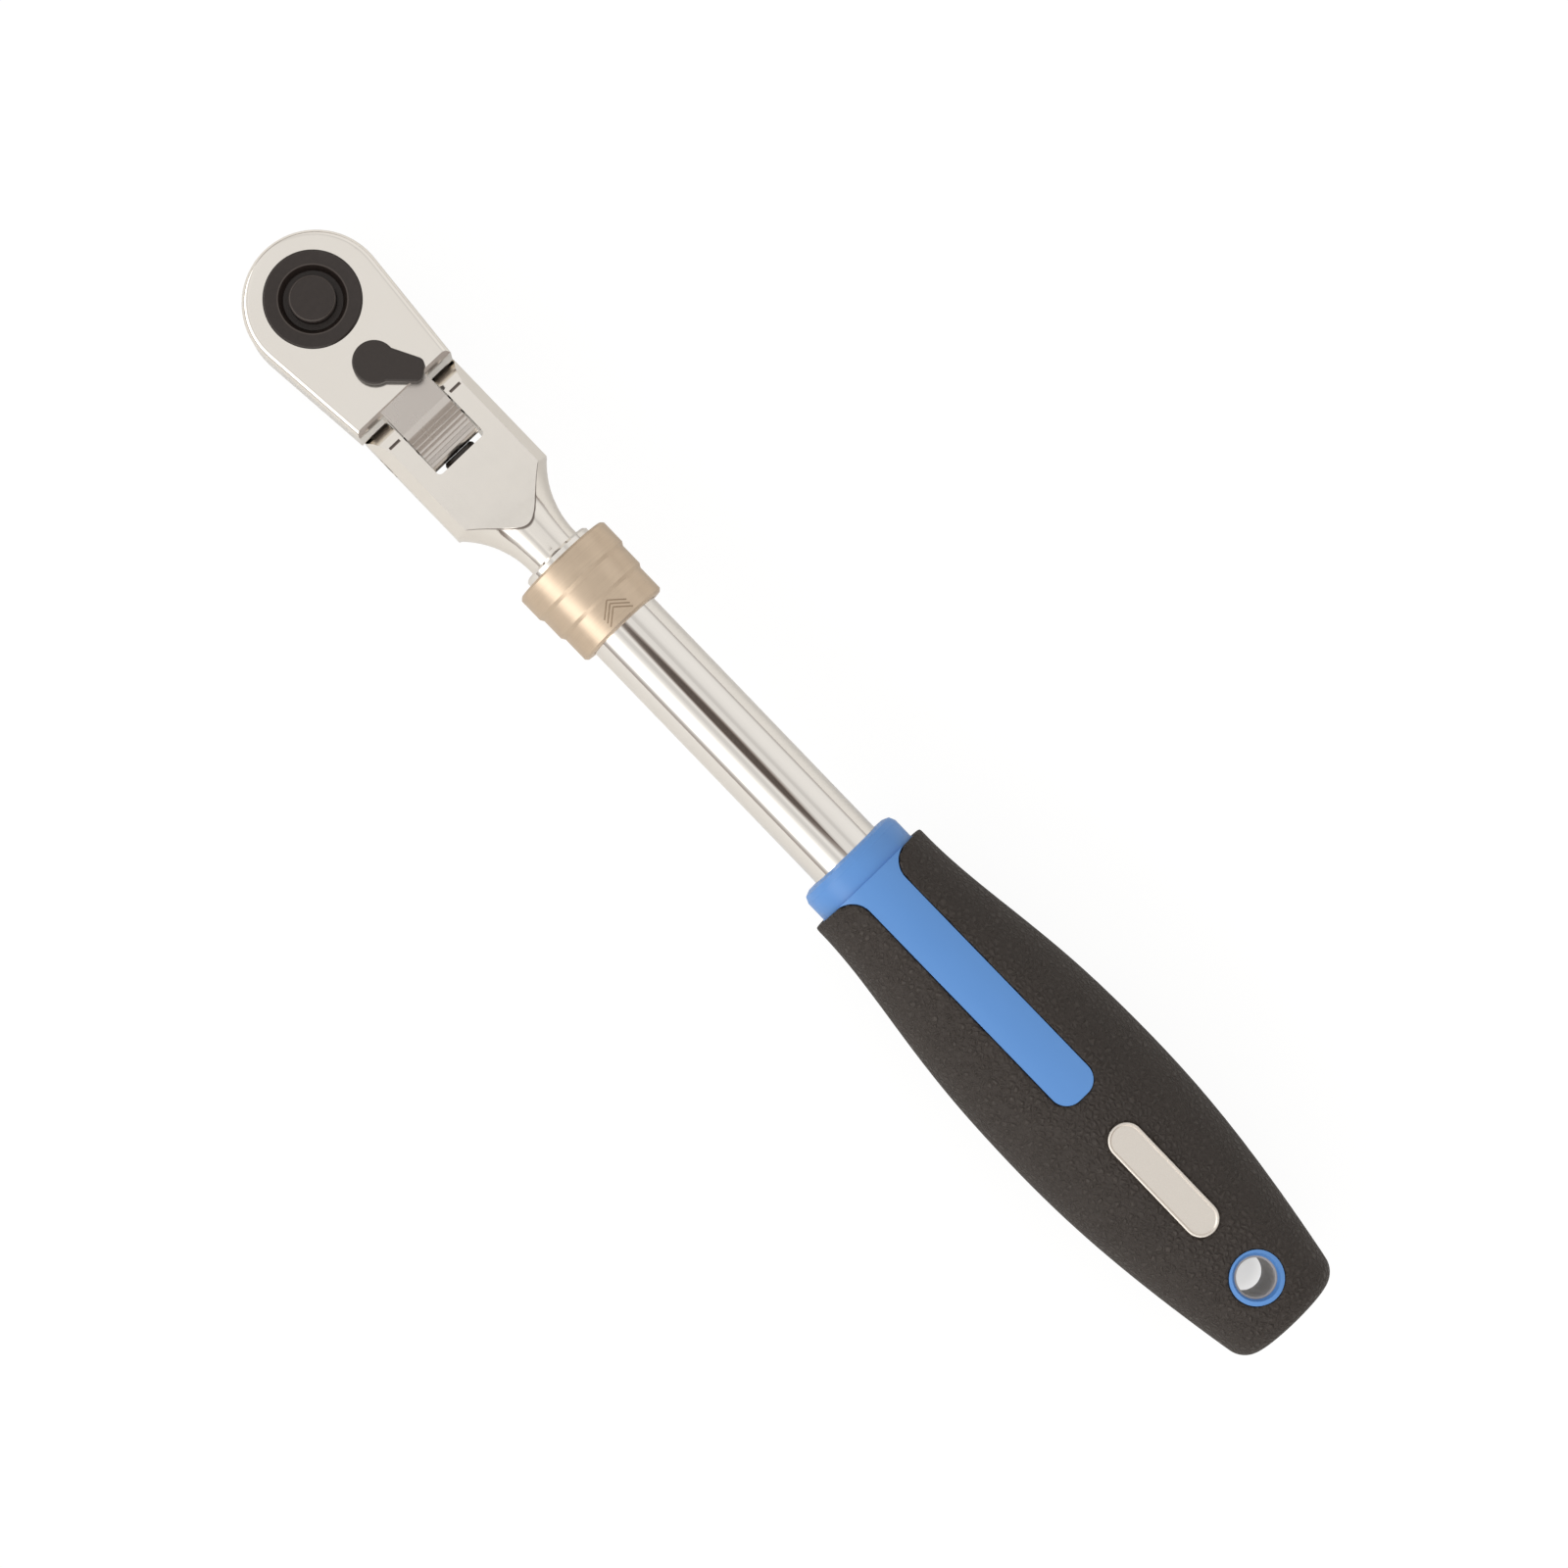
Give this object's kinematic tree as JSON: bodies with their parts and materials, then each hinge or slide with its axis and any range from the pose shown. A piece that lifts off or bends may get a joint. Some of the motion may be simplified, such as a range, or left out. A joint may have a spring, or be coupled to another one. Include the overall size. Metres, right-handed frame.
{
  "type": "ratchet wrench",
  "caption": "Extendable flex-head ratchet wrench with a 3/8 inch square drive, quick-release button, reversing lever, sliding lock collar and a soft-grip handle with a hanging hole.",
  "frame": {"origin": "centre of the drive square's end face, on the drive axis", "axes": "+X from the drive axis along the tool to the end of the handle; +Z along the drive axis, from the square to the release button; +Y across the tool"},
  "size_m": [0.3019, 0.0392, 0.0344],
  "materials": {
    "chrome_forging": "polished chrome plate",
    "chrome_tube": "polished chrome plate",
    "black_steel": "black oxide",
    "plain_steel": "plain hardened steel",
    "spring_steel": "drawn wire",
    "collar_satin": "satin champagne plating",
    "blue_plastic": "smooth moulded polypropylene",
    "soft_black": "leather-grained soft overmould",
    "badge_silver": "satin with a bright rim",
    "seal_rubber": "plain"
  },
  "bodies": {
    "handle": {"outer_tube": "chrome_tube", "tube_end_plug": "plain_steel", "collar_snap_ring": "spring_steel", "collar_spring": "spring_steel", "handle_core": "blue_plastic", "grip_overmould": "soft_black", "badge": "badge_silver", "hang_eyelet": "plain_steel"},
    "yoke": {"yoke_rod": "chrome_forging", "hinge_pin": "plain_steel", "flex_detent_spring": "spring_steel"},
    "detent": {"flex_detent": "black_steel"},
    "collar": {"lock_collar": "collar_satin"},
    "ball_1": {"locking_ball_1": "plain_steel"},
    "ball_2": {"locking_ball_2": "plain_steel"},
    "ball_3": {"locking_ball_3": "plain_steel"},
    "head": {"head_body": "chrome_forging", "cover_plate": "chrome_forging", "cover_screws": "black_steel"},
    "drive": {"drive_anvil": "black_steel", "button_spring": "spring_steel"},
    "button": {"release_button": "black_steel"},
    "drive_ball": {"drive_detent_ball": "plain_steel"},
    "lever": {"reversing_lever": "black_steel", "lever_plunger": "plain_steel", "lever_spring": "spring_steel", "lever_o_ring": "seal_rubber"},
    "pawl": {"pawl": "black_steel"}
  },
  "joints": [
    {"name": "extension", "type": "slide", "parent": "handle", "child": "yoke", "axis": [-1, 0, 0], "range_m": [0, 0.1]},
    {"name": "collar_slide", "type": "slide", "parent": "handle", "child": "collar", "axis": [-1, 0, 0], "range_m": [0, 0.003], "stiffness_N_per_m": 2000, "springref_m": -0.0015, "deforming": ["collar_spring"]},
    {"name": "locking_ball_1_lift", "type": "slide", "parent": "handle", "child": "ball_1", "axis": [0, 0, 1], "range_m": [0, 0.0003]},
    {"name": "locking_ball_2_lift", "type": "slide", "parent": "handle", "child": "ball_2", "axis": [0, -0.866, -0.5], "range_m": [0, 0.0003]},
    {"name": "locking_ball_3_lift", "type": "slide", "parent": "handle", "child": "ball_3", "axis": [0, 0.866, -0.5], "range_m": [0, 0.0003]},
    {"name": "head_flex", "type": "hinge", "parent": "yoke", "child": "head", "pos_m": [0.0347, 0, 0.0188], "axis": [0, 1, 0], "range_deg": [-90, 90]},
    {"name": "flex_detent_slide", "type": "slide", "parent": "yoke", "child": "detent", "axis": [1, 0, 0], "range_m": [-0.00055, 0]},
    {"name": "drive_spin", "type": "hinge", "parent": "head", "child": "drive", "pos_m": [0, 0, 0], "axis": [0, 0, 1], "continuous": true},
    {"name": "button_press", "type": "slide", "parent": "drive", "child": "button", "axis": [0, 0, -1], "range_m": [0, 0.002], "stiffness_N_per_m": 1500, "springref_m": -0.001, "deforming": ["button_spring"]},
    {"name": "detent_ball_slide", "type": "slide", "parent": "drive", "child": "drive_ball", "axis": [1, 0, 0], "range_m": [0, 0.0007]},
    {"name": "lever_turn", "type": "hinge", "parent": "head", "child": "lever", "pos_m": [0.0182, 0, 0.0188], "axis": [0, 0, 1], "range_deg": [-73, 0]},
    {"name": "pawl_swing", "type": "hinge", "parent": "head", "child": "pawl", "pos_m": [0, 0, 0.0188], "axis": [0, 0, 1], "range_deg": [0, 13]}
  ],
  "couplings": [
    {"joint": "locking_ball_1_lift", "follows": "collar_slide", "ratio": 0.1},
    {"joint": "locking_ball_2_lift", "follows": "collar_slide", "ratio": 0.1},
    {"joint": "locking_ball_3_lift", "follows": "collar_slide", "ratio": 0.1},
    {"joint": "detent_ball_slide", "follows": "button_press", "ratio": 0.35},
    {"joint": "pawl_swing", "follows": "lever_turn", "ratio": -0.178}
  ]
}
